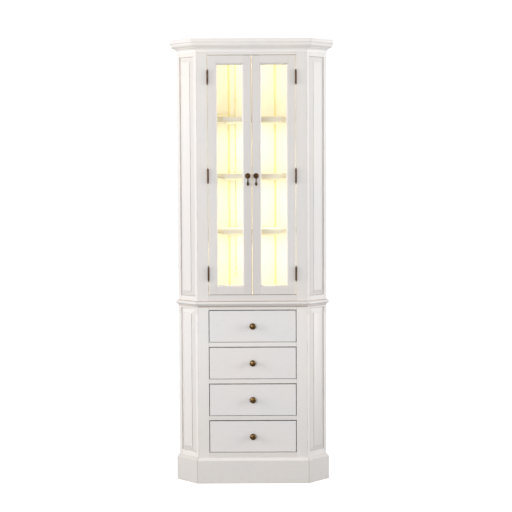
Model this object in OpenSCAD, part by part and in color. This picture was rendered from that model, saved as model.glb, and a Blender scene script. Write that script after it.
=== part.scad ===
// Corner curio cabinet: a lit glazed display case with two doors, standing on a
// base of four drawers. Canted sides meet the walls of a room corner squarely.
// Millimetres, +Z up, front towards -Y, origin at the middle of the footprint
// on the floor. Inside the modules y = 0 is the plane of the front frame.

/* [Overall] */
// total height, floor to the top of the crown
total_h = 2050; // [1900:5:2200]
// half of the width of the flat front
front_half = 253; // [220:1:300]
// how far each canted side runs back, and out, from the flat front
cant = 93; // [70:1:120]
// depth from the front frame to the flat back
body_depth = 322; // [280:1:380]
// thickness of the frame wood
frame_t = 20; // [16:1:26]
// thickness of the boards that lie against the walls
back_t = 12; // [8:1:16]
// thickness of floors and of the top board
board_t = 18; // [14:1:24]
// half width of the V groove down each rear inside corner
corner_v = 5; // [2:0.5:8]
// depth of that groove
corner_v_depth = 3; // [1:0.5:5]

/* [Base] */
// height of the flat part of the plinth
plinth_h = 107; // [80:1:140]
// height of the bevel on top of the plinth
plinth_bevel = 12; // [6:1:20]
// how far the plinth stands proud of the frame
plinth_out = 17; // [10:1:24]
// underside of the lowest drawer opening
drawer_z = 143; // [120:1:180]
// height of one drawer opening
drawer_open_h = 151; // [120:1:170]
// height of the rail between two drawers
drawer_rail = 21; // [14:1:30]
// half width of the drawer and door openings
open_half = 203; // [180:1:220]
// top of the base frame, where the waist board lies
waist_z = 828; // [780:1:880]
// thickness of the waist board
waist_t = 21; // [16:1:28]
// how far the waist moulding stands out
waist_out = 17; // [10:1:24]

/* [Display case] */
// underside of the door opening
door_z = 879; // [860:1:920]
// top of the door opening
door_top = 1979; // [1900:1:2010]
// gap all round each door
door_gap = 2; // [1.5:0.5:4]
// width of the wood of a door, without its inner moulding
door_stile = 35.5; // [28:0.5:50]
// width of the moulding around the glass
bead_w = 7; // [5:0.5:12]
// glass thickness
glass_t = 4; // [3:0.5:6]
// thickness of a shelf
shelf_t = 22; // [16:1:28]
// upper faces of the shelves, lowest first
shelf_tops = [1179, 1438, 1702];
// distance of the shelf fronts behind the front frame
shelf_setback = 105; // [80:1:160]
// half width of the straight part of a shelf front
shelf_half = 135; // [100:1:170]

/* [Side panels] */
// width of the front stile of a canted side
side_front_stile = 17; // [12:1:30]
// width of the rear stile of a canted side
side_rear_stile = 16; // [12:1:40]
// width of the sloped border of a raised panel
panel_bevel = 22; // [12:1:28]
// how far the middle of a raised panel stands proud of its frame
panel_proud = 5; // [0:0.5:8]
// lower and upper ends of the panel opening in the display case
case_side_open = [873, 1973];
// lower and upper ends of the panel opening in the base
base_side_open = [143, 815];

/* [Crown] */
// how far the crown stands out
crown_out = 44; // [30:1:60]
// height of the flat band at the top of the crown
crown_band = 17; // [10:1:26]
// radius of the round member below the band
crown_ovolo = 19; // [12:1:24]
// radius of the hollow that meets the frame
crown_cove = 16; // [10:1:20]

/* [Drawers] */
// gap at each end of a drawer front
drawer_gap = 3; // [1.5:0.5:4]
// gaps below and above a drawer front
drawer_gaps_z = [2, 3.5];
// half width of the drawer box
box_half = 185; // [160:1:195]
// depth of the drawer, from its face to its back board
drawer_depth = 225; // [200:1:240]
// thickness of the drawer sides and back
box_t = 12; // [9:1:15]
// height of the drawer sides
box_h = 138; // [100:1:144]
// radius of a drawer knob
knob_r = 15; // [10:0.5:20]

/* [Door hardware] */
// heights of the hinges
hinge_zs = [977.5, 1428, 1878.5];
// length of the hinge barrel
hinge_l = 60; // [50:1:80]
// radius of the hinge barrel
hinge_r = 4; // [3:0.25:6]
// radius of the hinge pin
pin_r = 1.6; // [1.2:0.1:2.4]
// height of the drop pulls
pull_z = 1428; // [1300:1:1500]
// radius of the round plate of a drop pull
rose_r = 12.5; // [9:0.5:16]

/* [Lighting] */
// half length of a light bar
light_half = 120; // [80:1:135]
// distance of a light bar behind the shelf fronts
light_back = 5; // [2:1:40]
// width of a light bar
light_w = 14; // [10:1:20]
// height of a light bar
light_h = 9; // [7:1:14]
// height of the cable hole in the flat back
grommet_z = 948; // [900:1:1000]
// radius of the way through the cable grommet
grommet_bore = 8; // [5:0.5:12]

/* [Hidden] */
$fn = 64;
face_y = -(body_depth - crown_out) / 2;
cant_l = cant * sqrt(2);
mitre = tan(22.5);
wall_sum = front_half + 2 * cant;
back_half = wall_sum - body_depth;
wall_l = (front_half + cant - back_half) * sqrt(2);
inner_sum = wall_sum - back_t * sqrt(2);
inner_back = body_depth - back_t;
upper_z = waist_z + waist_t;
lining_t = 8;
top_z = total_h - board_t;
crown_z = total_h - crown_band - crown_ovolo;
crown_fillet = 3;
cove_z = crown_z - crown_fillet - crown_cove;
foot_step = 3;
eps = 0.01;
glue = 0.05;
over = 60;
fit_gap = 0.5;
slide_gap = 0.4;
run_fit = 0.05;
board_gap = 1;
drawer_pitch = drawer_open_h + drawer_rail;
runner_in = 165;
runner_out = 212;
runner_back = inner_sum - runner_out;
guide_h = 30;
stop_w = 6;
bottom_t = 6;
bottom_up = 8;
screw_r = 2;
screw_hole_r = 2.3;
screw_head_r = 4.5;
screw_head_t = 2.5;
hinge_x = open_half - door_gap / 2;
hinge_y = -4.3;
leaf_t = 0.8;
leaf_d = 19;
knuckle_gap = 0.5;
knuckles = 5;
knuckle_l = (hinge_l - (knuckles - 1) * knuckle_gap) / knuckles;
finial_r = 2.8;
stile_in = door_gap / 2;
stile_out = open_half - door_gap;
door_low = door_z + door_gap;
door_high = door_top - door_gap;
rail_low = 37;
rail_high = 35;
light_in = stile_in + door_stile;
light_out = stile_out - door_stile;
light_low = door_low + rail_low;
light_high = door_high - rail_high;
bead_front = 2;
glass_y = 9;
pull_x = 19;
drop_y = -11;
drop_pin_r = 1.2;
drop_stem_r = 1.9;
drop_stem = 24;
drop_cone = 12;
drop_r = 6;
drop_ball_z = 38;
catch_x = 22;
catch_w = 28;
strike_t = 1.2;
catch_y = frame_t + strike_t + slide_gap;
catch_d = 12.4;
catch_z = [1962, 2005];
lead_x = -79;
lead_r = 2;
lead_y = inner_back - 2 * lead_r;
lead_up = 20;
lead_low = grommet_z + lead_up;
plug_l = 24;
plug_r = 3.6;
clip_zs = [1030, 1095, 1250, 1370, 1500, 1620, 1790, 1900];
lead_clear = 1.5;
shelf_back = lead_y - lead_r - lead_clear;
groove_w = 11;
strip_w = 8;
strip_t = 1.2;
diffuser_t = 2;
cleat = 14;
cleat_from = 165;
cleat_to = 306;
grommet_r = 10;
grommet_rim = 13;
rim_t = 2;
driver_l = 110;
driver_w = 22;
driver_h = 17;
driver_up = 3;
driver_z = shelf_tops[2] + driver_up;
white = [0.90, 0.89, 0.87];
raw_wood = [0.76, 0.62, 0.44];
bronze = [0.20, 0.14, 0.10];
brass = [0.45, 0.33, 0.18];
clear = [0.80, 0.88, 0.86, 0.35];
glow = [1.00, 0.95, 0.78];
grey_metal = [0.72, 0.72, 0.72];
dark = [0.10, 0.08, 0.07];
plastic = [0.88, 0.87, 0.84];

// ---- frames of reference ----

// from the plane of the front frame to the cabinet's own origin
module place() {
    translate([0, face_y, 0])
        children();
}

// the right side as drawn, and its mirror image on the left
module both() {
    children();
    mirror([1, 0, 0])
        children();
}

module side(s) {
    mirror([s < 0 ? 1 : 0, 0, 0])
        children();
}

// right canted side: x runs back along it, y runs into the cabinet
module on_cant() {
    translate([front_half, 0, 0])
        rotate([0, 0, 45])
            children();
}

module box(lo, hi) {
    translate(lo)
        cube(hi - lo);
}

// upright prism over a plan outline
module prism(points, z0, z1) {
    translate([0, 0, z0])
        linear_extrude(z1 - z0)
            polygon(points);
}

// a turned piece whose axis points out of the front
module turned_out(x, y, z) {
    translate([x, y, z])
        rotate([90, 0, 0])
            rotate_extrude()
                children();
}

// a rod along x
module rod_x(x0, x1, y, z, r) {
    translate([x0, y, z])
        rotate([0, 90, 0])
            cylinder(h = x1 - x0, r = r);
}

// a rod along y
module rod_y(x, y0, y1, z, r) {
    translate([x, y0, z])
        rotate([-90, 0, 0])
            cylinder(h = y1 - y0, r = r);
}

// the whole body outline, front frame included
function body_outline() = [
    [-front_half, 0], [front_half, 0], [front_half + cant, cant],
    [back_half, body_depth], [-back_half, body_depth],
    [-front_half - cant, cant]];

// the clear plan between wall boards and front frame, a glue line smaller all
// round, with the canted sides as thick as side_t
function inner_outline(side_t) =
    let (y0 = frame_t + glue,
         diff = front_half - (side_t + glue) * sqrt(2),
         sum = inner_sum - glue * sqrt(2),
         y1 = inner_back - glue)
    [[-diff - y0, y0], [diff + y0, y0],
     [(diff + sum) / 2, (sum - diff) / 2], [sum - y1, y1],
     [y1 - sum, y1], [-(diff + sum) / 2, (sum - diff) / 2]];

// three mitred runs of a moulding: across the front and along both cants
module mould_run(len) {
    rotate([90, 0, -90])
        linear_extrude(len, center = true)
            children();
}

module mould_three(z0, z1) {
    intersection() {
        mould_run(2 * front_half + 2 * over)
            children();
        prism([[-front_half + glue, 0], [front_half - glue, 0],
            [front_half + mitre * over - glue, -over],
            [-front_half - mitre * over + glue, -over]], z0, z1);
    }
    both()
        on_cant()
            intersection() {
                translate([cant_l / 2, 0, 0])
                    mould_run(cant_l + 2 * over)
                        children();
                prism([[glue, 0], [cant_l, 0], [cant_l, -over],
                    [glue - mitre * over, -over]], z0, z1);
            }
}

// ---- shared joinery ----

module front_stiles(z0, z1) {
    both()
        prism([[open_half, 0], [front_half, 0],
            [front_half - frame_t * mitre, frame_t],
            [open_half, frame_t]], z0, z1);
}

module side_frames(z0, z1, opening) {
    x0 = side_front_stile;
    x1 = cant_l - side_rear_stile;
    both()
        on_cant() {
            prism([[0, 0], [x0, 0], [x0, frame_t],
                [frame_t * mitre, frame_t]], z0, z1);
            box([x1, 0, z0], [cant_l, frame_t, z1]);
            box([x0 + glue, 0, z0], [x1 - glue, frame_t, opening[0]]);
            box([x0 + glue, 0, opening[1]], [x1 - glue, frame_t, z1]);
        }
}

// lining board with a raised and bevelled field that fills the side opening
module side_panels(z0, z1, opening) {
    x0 = side_front_stile + fit_gap;
    x1 = cant_l - side_rear_stile - fit_gap;
    zlo = opening[0] + fit_gap;
    zhi = opening[1] - fit_gap;
    b = panel_bevel;
    sunk = 7;
    lip = 2;
    lap = 4;
    both()
        on_cant() {
            box([side_front_stile - lap, frame_t, z0],
                [cant_l - back_t, frame_t + lining_t, z1]);
            box([x0, sunk, zlo], [x1, frame_t + eps, zhi]);
            hull() {
                box([x0, sunk, zlo], [x1, sunk + eps, zhi]);
                box([x0 + b, -panel_proud + lip, zlo + b],
                    [x1 - b, sunk, zhi - b]);
            }
            box([x0 + b, -panel_proud, zlo + b], [x1 - b, sunk, zhi - b]);
        }
}

// wall boards mitred at the rear corners, with a V groove down each mitre
module back_panels(z0, z1) {
    v = corner_v;
    deep = back_t - corner_v_depth;
    both()
        on_cant()
            prism([[cant_l - back_t, frame_t], [cant_l, frame_t],
                [cant_l, wall_l], [cant_l - deep, wall_l - deep * mitre],
                [cant_l - back_t, wall_l - back_t * mitre - v]], z0, z1);
    prism([[-back_half + glue, body_depth], [back_half - glue, body_depth],
        [back_half - deep * mitre - glue, body_depth - deep],
        [back_half - back_t * mitre - v, inner_back],
        [-back_half + back_t * mitre + v, inner_back],
        [-back_half + deep * mitre + glue, body_depth - deep]], z0, z1);
}

// ---- base ----

module plinth() {
    color(white)
        place()
            mould_three(0, plinth_h + plinth_bevel)
                polygon([[0, 0], [plinth_out, 0], [plinth_out, plinth_h],
                    [foot_step, plinth_h + plinth_bevel],
                    [0, plinth_h + plinth_bevel]]);
}

module base_front_stiles() {
    color(white)
        place()
            front_stiles(0, waist_z);
}

module base_front_rails() {
    top_of_last = drawer_z + 4 * drawer_open_h + 3 * drawer_rail;
    color(white)
        place() {
            box([-open_half, 0, drawer_z - 2 * drawer_rail],
                [open_half, frame_t, drawer_z]);
            for (i = [1:3])
                box([-open_half, 0, drawer_z + i * drawer_pitch - drawer_rail],
                    [open_half, frame_t, drawer_z + i * drawer_pitch]);
            box([-open_half, 0, top_of_last], [open_half, frame_t, waist_z]);
        }
}

module base_side_frames() {
    color(white)
        place()
            side_frames(0, waist_z, base_side_open);
}

module base_side_panels() {
    color(white)
        place()
            side_panels(drawer_z, waist_z, base_side_open);
}

module base_back_panels() {
    color(white)
        place()
            back_panels(0, waist_z);
}

module base_floor() {
    color(raw_wood)
        place()
            prism(inner_outline(frame_t), drawer_z - board_t, drawer_z);
}

// bearers under the drawer sides, with guides outside them
module drawer_runners() {
    color(raw_wood)
        place()
            both()
                for (i = [0:3]) {
                    z = drawer_z + i * drawer_pitch;
                    if (i > 0)
                        box([runner_in, frame_t, z - drawer_rail],
                            [runner_out, runner_back, z]);
                    box([box_half + fit_gap, frame_t, z + glue],
                        [runner_out, runner_back, z + guide_h]);
                }
}

module drawer_stops() {
    color(raw_wood)
        place()
            both()
                for (i = [0:3]) {
                    z = drawer_z + i * drawer_pitch;
                    box([runner_in, frame_t + slide_gap, z],
                        [runner_in + stop_w, frame_t + 2 * stop_w, z + stop_w]);
                }
}

module waist_board() {
    color(white)
        place()
            prism(body_outline(), waist_z, upper_z);
}

module waist_moulding() {
    nose = 8;
    toe = 5;
    color(white)
        place()
            mould_three(waist_z, upper_z)
                translate([0, waist_z])
                    union() {
                        square([toe, waist_t]);
                        translate([0, toe])
                            square([waist_out - nose, waist_t - toe]);
                        translate([waist_out - nose, waist_t - nose])
                            circle(nose);
                    }
}

// ---- display case ----

module upper_front_stiles() {
    color(white)
        place()
            front_stiles(upper_z, top_z);
}

module upper_front_rails() {
    color(white)
        place() {
            box([-open_half, 0, upper_z], [open_half, frame_t, door_z]);
            box([-open_half, 0, door_top], [open_half, frame_t, top_z]);
        }
}

module upper_side_frames() {
    color(white)
        place()
            side_frames(upper_z, top_z, case_side_open);
}

module upper_side_panels() {
    color(white)
        place()
            side_panels(door_z - board_t, top_z, case_side_open);
}

module upper_back_panels() {
    color(white)
        place()
            difference() {
                back_panels(upper_z, top_z);
                rod_y(lead_x, inner_back - 1, body_depth + 1, grommet_z,
                    grommet_r);
            }
}

module upper_floor() {
    color(white)
        place()
            prism(inner_outline(frame_t + lining_t), door_z - board_t, door_z);
}

module top_board() {
    color(white)
        place()
            prism(body_outline(), top_z, total_h);
}

module crown_moulding() {
    fillet = crown_fillet;
    foot = 2;
    color(white)
        place()
            mould_three(cove_z - fillet, total_h)
                union() {
                    translate([0, total_h - crown_band])
                        square([crown_out, crown_band]);
                    intersection() {
                        translate([crown_out - fillet - crown_ovolo,
                            total_h - crown_band])
                            circle(crown_ovolo);
                        translate([0, crown_z])
                            square([crown_out, crown_ovolo]);
                    }
                    translate([0, crown_z])
                        square([crown_out - fillet - crown_ovolo, crown_ovolo]);
                    translate([0, cove_z + crown_cove])
                        square([crown_cove + foot + foot, fillet]);
                    difference() {
                        translate([0, cove_z])
                            square([crown_cove + foot, crown_cove]);
                        translate([crown_cove + foot, cove_z])
                            circle(crown_cove);
                    }
                    translate([0, cove_z - fillet])
                        square([foot, fillet]);
                }
}

module shelf(i) {
    sum = inner_sum - board_gap * sqrt(2);
    run = (sum - shelf_half - shelf_setback) / 2;
    prism([[-shelf_half, shelf_setback], [shelf_half, shelf_setback],
        [shelf_half + run, shelf_setback + run],
        [sum - shelf_back, shelf_back], [shelf_back - sum, shelf_back],
        [-shelf_half - run, shelf_setback + run]],
        shelf_tops[i] - shelf_t, shelf_tops[i]);
}

module shelf_lower() {
    color(white)
        place()
            shelf(0);
}

module shelf_middle() {
    color(white)
        place()
            shelf(1);
}

module shelf_upper() {
    color(white)
        place()
            shelf(2);
}

// battens on the wall boards that carry the shelves
module shelf_cleats() {
    color(white)
        place()
            both()
                on_cant()
                    for (z = shelf_tops)
                        box([cant_l - back_t - cleat, cleat_from,
                            z - shelf_t - cleat],
                            [cant_l - back_t, cleat_to, z - shelf_t]);
}

// ---- lighting ----

// undersides that carry a light bar: the shelves and the top board
function lit_undersides() = concat([for (z = shelf_tops) z - shelf_t], [top_z]);

module at_lights() {
    for (z = lit_undersides())
        translate([0, shelf_setback + light_back, z])
            children();
}

module light_housings() {
    wall = (light_w - groove_w) / 2;
    color(plastic)
        place()
            at_lights()
                difference() {
                    box([-light_half, 0, -light_h], [light_half, light_w, 0]);
                    box([-light_half + wall, wall, -light_h - 1],
                        [light_half - wall, light_w - wall, -wall]);
                }
}

module light_strips() {
    wall = (light_w - groove_w) / 2;
    lip = (light_w - strip_w) / 2;
    color(brass)
        place()
            at_lights()
                box([-light_half + lip, lip, -wall - strip_t],
                    [light_half - lip, light_w - lip, -wall]);
}

module light_diffusers() {
    wall = (light_w - groove_w) / 2;
    color(glow)
        place()
            at_lights()
                box([-light_half + wall, wall, -light_h],
                    [light_half - wall, light_w - wall,
                        -light_h + diffuser_t]);
}

// the low-voltage lead: one upright run, a branch to each bar and to the driver
module light_lead() {
    drop = light_h / 2;
    inlet_x = -116;
    inlet_y = 289;
    dx = inlet_x - lead_x;
    dy = inlet_y - lead_y;
    color(plastic)
        place() {
            translate([lead_x, lead_y, lead_low])
                cylinder(h = top_z - drop - lead_low, r = lead_r);
            translate([lead_x, lead_y, lead_low])
                cylinder(h = plug_l, r = plug_r);
            translate([lead_x, lead_y, top_z - drop])
                sphere(lead_r);
            for (z = lit_undersides())
                rod_y(lead_x, shelf_setback + light_back + light_w, lead_y,
                    z - drop, lead_r);
            translate([lead_x, lead_y, driver_z + driver_h / 2])
                rotate([0, 0, atan2(dy, dx)])
                    rotate([0, 90, 0])
                        cylinder(h = norm([dx, dy]), r = lead_r);
        }
}

module lead_clips() {
    half_w = 5;
    half_h = 3;
    color(plastic)
        place()
            for (z = clip_zs)
                difference() {
                    box([lead_x - half_w, lead_y - lead_r - 1, z - half_h],
                        [lead_x + half_w, inner_back, z + half_h]);
                    translate([lead_x, lead_y, z - half_h - 1])
                        cylinder(h = 2 * half_h + 2, r = lead_r + run_fit);
                }
}

// power supply screwed to the left wall board, just above the upper shelf
module light_driver() {
    far = 296;
    color(plastic)
        place()
            side(-1)
                on_cant()
                    box([cant_l - back_t - driver_w, far - driver_l, driver_z],
                        [cant_l - back_t, far, driver_z + driver_h]);
}

module cable_grommet() {
    color(plastic)
        place()
            translate([lead_x, body_depth, grommet_z])
                rotate([90, 0, 0])
                    rotate_extrude() {
                        translate([grommet_bore, 0])
                            square([grommet_r - grommet_bore, back_t]);
                        translate([grommet_bore, back_t])
                            square([grommet_rim - grommet_bore, rim_t]);
                    }
}

// ---- door furniture on the case ----

module door_catches() {
    above_door = 3;
    flange_z = door_top + above_door;
    color(dark)
        place()
            both() {
                box([catch_x - catch_w / 2, catch_y, catch_z[0]],
                    [catch_x + catch_w / 2, catch_y + catch_d, catch_z[1]]);
                box([catch_x - catch_w / 2, frame_t, flange_z],
                    [catch_x + catch_w / 2, catch_y + eps, catch_z[1]]);
            }
}

// half of a butt hinge: plate x from x0 to x1, with every second knuckle
module leaf(x0, x1, first, bore) {
    for (zc = hinge_zs)
        difference() {
            union() {
                box([x0, slide_gap, zc - hinge_l / 2],
                    [x1, slide_gap + leaf_d, zc + hinge_l / 2]);
                for (k = [first:2:knuckles - 1]) {
                    z0 = zc - hinge_l / 2 + k * (knuckle_l + knuckle_gap);
                    translate([hinge_x, hinge_y, z0])
                        cylinder(h = knuckle_l, r = hinge_r);
                    box([x0, hinge_y, z0],
                        [x1, slide_gap + eps, z0 + knuckle_l]);
                }
            }
            translate([hinge_x, hinge_y, zc - hinge_l])
                cylinder(h = 2 * hinge_l, r = bore);
        }
}

module hinge_frame_leaves() {
    color(bronze)
        place()
            both()
                leaf(open_half - leaf_t, open_half, 0, pin_r);
}

module hinge_pins() {
    tip = hinge_l / 2 + finial_r + run_fit;
    color(bronze)
        place()
            both()
                for (zc = hinge_zs)
                    translate([hinge_x, hinge_y, zc]) {
                        translate([0, 0, -tip])
                            cylinder(h = 2 * tip, r = pin_r);
                        for (s = [-1, 1])
                            translate([0, 0, s * tip])
                                sphere(finial_r);
                    }
}

// ---- doors, drawn on the right ----

module door_frame(s) {
    place()
        side(s) {
            box([stile_in, 0, door_low], [light_in, frame_t, door_high]);
            box([light_out, 0, door_low], [stile_out, frame_t, door_high]);
            box([light_in + glue, 0, door_low],
                [light_out - glue, frame_t, light_low]);
            box([light_in + glue, 0, light_high],
                [light_out - glue, frame_t, door_high]);
        }
}

// upright plate in the plane of the door
module slab(points, y0, y1) {
    translate([0, y1, 0])
        rotate([90, 0, 0])
            linear_extrude(y1 - y0)
                polygon(points);
}

// four mitred strips inside a rectangle
module strips(x0, x1, z0, z1, w, y0, y1) {
    g = glue;
    slab([[x0 + g, z0], [x1 - g, z0], [x1 - w - g, z0 + w],
        [x0 + w + g, z0 + w]], y0, y1);
    slab([[x0 + g, z1], [x1 - g, z1], [x1 - w - g, z1 - w],
        [x0 + w + g, z1 - w]], y0, y1);
    slab([[x0, z0 + g], [x0, z1 - g], [x0 + w, z1 - w - g],
        [x0 + w, z0 + w + g]], y0, y1);
    slab([[x1, z0 + g], [x1, z1 - g], [x1 - w, z1 - w - g],
        [x1 - w, z0 + w + g]], y0, y1);
}

module door_beads(s) {
    slope_y = glass_y - 2;
    in = 1;
    place()
        side(s) {
            difference() {
                strips(light_in, light_out, light_low, light_high, bead_w,
                    bead_front, glass_y);
                hull() {
                    box([light_in + in, bead_front - 1, light_low + in],
                        [light_out - in, bead_front, light_high - in]);
                    box([light_in + bead_w, slope_y, light_low + bead_w],
                        [light_out - bead_w, slope_y + eps,
                            light_high - bead_w]);
                }
            }
            strips(light_in, light_out, light_low, light_high, bead_w,
                glass_y + glass_t, frame_t);
        }
}

module door_glass(s) {
    place()
        side(s)
            box([light_in + fit_gap, glass_y, light_low + fit_gap],
                [light_out - fit_gap, glass_y + glass_t,
                    light_high - fit_gap]);
}

module door_leaves(s) {
    place()
        side(s)
            leaf(stile_out, stile_out + leaf_t, 1, pin_r + run_fit);
}

module door_strike(s) {
    half_w = 12;
    below = 6;
    above = 12;
    place()
        side(s)
            box([catch_x - half_w, frame_t, catch_z[0] - below],
                [catch_x + half_w, frame_t + strike_t, catch_z[0] + above]);
}

// round plate with a beaded rim and a boss, two ears and the cross pin
module pull_rose(s) {
    plate_t = 1.8;
    bead_r = 1.5;
    boss_r = 8.5;
    boss_dome_r = 9.5;
    boss_drop = 2;
    ear_t = 1.8;
    ear_x = 2.9;
    ear_r = 3.5;
    ear_half = 3;
    pin_over = 1.9;
    place()
        side(s) {
            turned_out(pull_x, 0, pull_z) {
                square([rose_r, plate_t]);
                translate([rose_r - plate_t, plate_t])
                    circle(bead_r);
                intersection() {
                    translate([0, -boss_drop])
                        circle(boss_dome_r);
                    square([boss_r, boss_dome_r]);
                }
            }
            for (x = [pull_x - ear_x, pull_x + ear_x]) {
                rod_x(x - ear_t / 2, x + ear_t / 2, drop_y, pull_z, ear_r);
                box([x - ear_t / 2, drop_y, pull_z - ear_half],
                    [x + ear_t / 2, -boss_drop, pull_z + ear_half]);
            }
            rod_x(pull_x - ear_x - pin_over, pull_x + ear_x + pin_over, drop_y,
                pull_z, drop_pin_r);
        }
}

// eye, collar, stem and teardrop, hanging from the cross pin
module pull_drop(s) {
    eye_half = 1.6;
    eye_r = 3;
    neck_r = 1.5;
    collar_r = 3.6;
    collar_z = 8.8;
    collar_l = 9;
    shoulder_r = 5.6;
    tip_z = 6.6;
    place()
        side(s)
            difference() {
                union() {
                    rod_x(pull_x - eye_half, pull_x + eye_half, drop_y, pull_z,
                        eye_r);
                    translate([pull_x, drop_y, pull_z - collar_z - eps])
                        cylinder(h = collar_z - drop_pin_r, r = neck_r);
                    translate([pull_x, drop_y, pull_z - collar_z - collar_l])
                        cylinder(h = collar_l, r1 = drop_stem_r, r2 = collar_r);
                    translate([pull_x, drop_y, pull_z - drop_stem - eps])
                        cylinder(h = drop_stem - collar_z - collar_l + 2 * eps,
                            r = drop_stem_r);
                    translate([pull_x, drop_y, pull_z - drop_stem - drop_cone])
                        cylinder(h = drop_cone, r1 = shoulder_r,
                            r2 = drop_stem_r);
                    translate([pull_x, drop_y, pull_z - drop_ball_z])
                        sphere(drop_r);
                    translate([pull_x, drop_y, pull_z - drop_ball_z - tip_z])
                        sphere(drop_stem_r);
                }
                rod_x(pull_x - 2 * eye_half, pull_x + 2 * eye_half, drop_y,
                    pull_z, drop_pin_r + run_fit);
            }
}

module left_door_frame() {
    color(white)
        door_frame(-1);
}

module left_door_beads() {
    color(white)
        door_beads(-1);
}

module left_door_glass() {
    color(clear)
        door_glass(-1);
}

module left_door_hinge_leaves() {
    color(bronze)
        door_leaves(-1);
}

module left_door_strike() {
    color(grey_metal)
        door_strike(-1);
}

module left_pull_rose() {
    color(bronze)
        pull_rose(-1);
}

module left_pull_drop() {
    color(bronze)
        pull_drop(-1);
}

module right_door_frame() {
    color(white)
        door_frame(1);
}

module right_door_beads() {
    color(white)
        door_beads(1);
}

module right_door_glass() {
    color(clear)
        door_glass(1);
}

module right_door_hinge_leaves() {
    color(bronze)
        door_leaves(1);
}

module right_door_strike() {
    color(grey_metal)
        door_strike(1);
}

module right_pull_rose() {
    color(bronze)
        pull_rose(1);
}

module right_pull_drop() {
    color(bronze)
        pull_drop(1);
}

// ---- drawers, number 1 at the top ----

function drawer_z0(n) = drawer_z + (4 - n) * drawer_pitch;

module drawer_front(n) {
    z = drawer_z0(n);
    half = open_half - drawer_gap;
    place()
        difference() {
            box([-half, 0, z + drawer_gaps_z[0]],
                [half, frame_t, z + drawer_open_h - drawer_gaps_z[1]]);
            rod_y(0, -1, frame_t + 1, z + drawer_open_h / 2, screw_hole_r);
        }
}

module drawer_box(n) {
    z = drawer_z0(n);
    inner = box_half - box_t;
    place() {
        for (s = [-1, 1])
            box([s * (box_half - box_t / 2) - box_t / 2, frame_t,
                z + slide_gap],
                [s * (box_half - box_t / 2) + box_t / 2, drawer_depth,
                    z + slide_gap + box_h]);
        box([-inner + glue, drawer_depth - box_t, z + bottom_up],
            [inner - glue, drawer_depth, z + slide_gap + box_h]);
        box([-inner + glue, frame_t, z + bottom_up],
            [inner - glue, drawer_depth - box_t - glue,
                z + bottom_up + bottom_t]);
    }
}

// turned knob and the screw that holds it through the drawer front
module drawer_knob(n) {
    zc = drawer_z0(n) + drawer_open_h / 2;
    rim_r = 6;
    rim_z = 15;
    foot_r = 8;
    foot_t = 2.5;
    neck_r = 4.5;
    dome_r = 26;
    dome_z = -2;
    dome_over = 1.5;
    screw_in = 12;
    place() {
        difference() {
            turned_out(0, 0, zc) {
                square([foot_r, foot_t]);
                square([neck_r, rim_z]);
                translate([knob_r - rim_r, rim_z])
                    circle(rim_r);
                translate([0, rim_z - rim_r])
                    square([knob_r - rim_r, 2 * rim_r]);
                intersection() {
                    translate([0, dome_z])
                        circle(dome_r);
                    square([knob_r - rim_r + dome_over, dome_r]);
                }
            }
            rod_y(0, -screw_in - 1, 1, zc, screw_r + glue);
        }
        rod_y(0, -screw_in, frame_t + eps, zc, screw_r);
        rod_y(0, frame_t, frame_t + screw_head_t, zc, screw_head_r);
    }
}

module drawer_1_front() {
    color(white)
        drawer_front(1);
}

module drawer_1_box() {
    color(raw_wood)
        drawer_box(1);
}

module drawer_1_knob() {
    color(brass)
        drawer_knob(1);
}

module drawer_2_front() {
    color(white)
        drawer_front(2);
}

module drawer_2_box() {
    color(raw_wood)
        drawer_box(2);
}

module drawer_2_knob() {
    color(brass)
        drawer_knob(2);
}

module drawer_3_front() {
    color(white)
        drawer_front(3);
}

module drawer_3_box() {
    color(raw_wood)
        drawer_box(3);
}

module drawer_3_knob() {
    color(brass)
        drawer_knob(3);
}

module drawer_4_front() {
    color(white)
        drawer_front(4);
}

module drawer_4_box() {
    color(raw_wood)
        drawer_box(4);
}

module drawer_4_knob() {
    color(brass)
        drawer_knob(4);
}

plinth();
base_front_stiles();
base_front_rails();
base_side_frames();
base_side_panels();
base_back_panels();
base_floor();
drawer_runners();
drawer_stops();
waist_board();
waist_moulding();
upper_front_stiles();
upper_front_rails();
upper_side_frames();
upper_side_panels();
upper_back_panels();
upper_floor();
top_board();
crown_moulding();
shelf_lower();
shelf_middle();
shelf_upper();
shelf_cleats();
light_housings();
light_strips();
light_diffusers();
light_lead();
lead_clips();
light_driver();
cable_grommet();
door_catches();
hinge_frame_leaves();
hinge_pins();
left_door_frame();
left_door_beads();
left_door_glass();
left_door_hinge_leaves();
left_door_strike();
left_pull_rose();
left_pull_drop();
right_door_frame();
right_door_beads();
right_door_glass();
right_door_hinge_leaves();
right_door_strike();
right_pull_rose();
right_pull_drop();
drawer_1_front();
drawer_1_box();
drawer_1_knob();
drawer_2_front();
drawer_2_box();
drawer_2_knob();
drawer_3_front();
drawer_3_box();
drawer_3_knob();
drawer_4_front();
drawer_4_box();
drawer_4_knob();
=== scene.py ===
"""Looks of the corner curio cabinet: worn white paint, glass, aged metal and a lit
display case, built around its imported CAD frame. Metres, in the frame's own axes."""

import math

import bmesh
import bpy
from mathutils import Matrix, Vector


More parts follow.
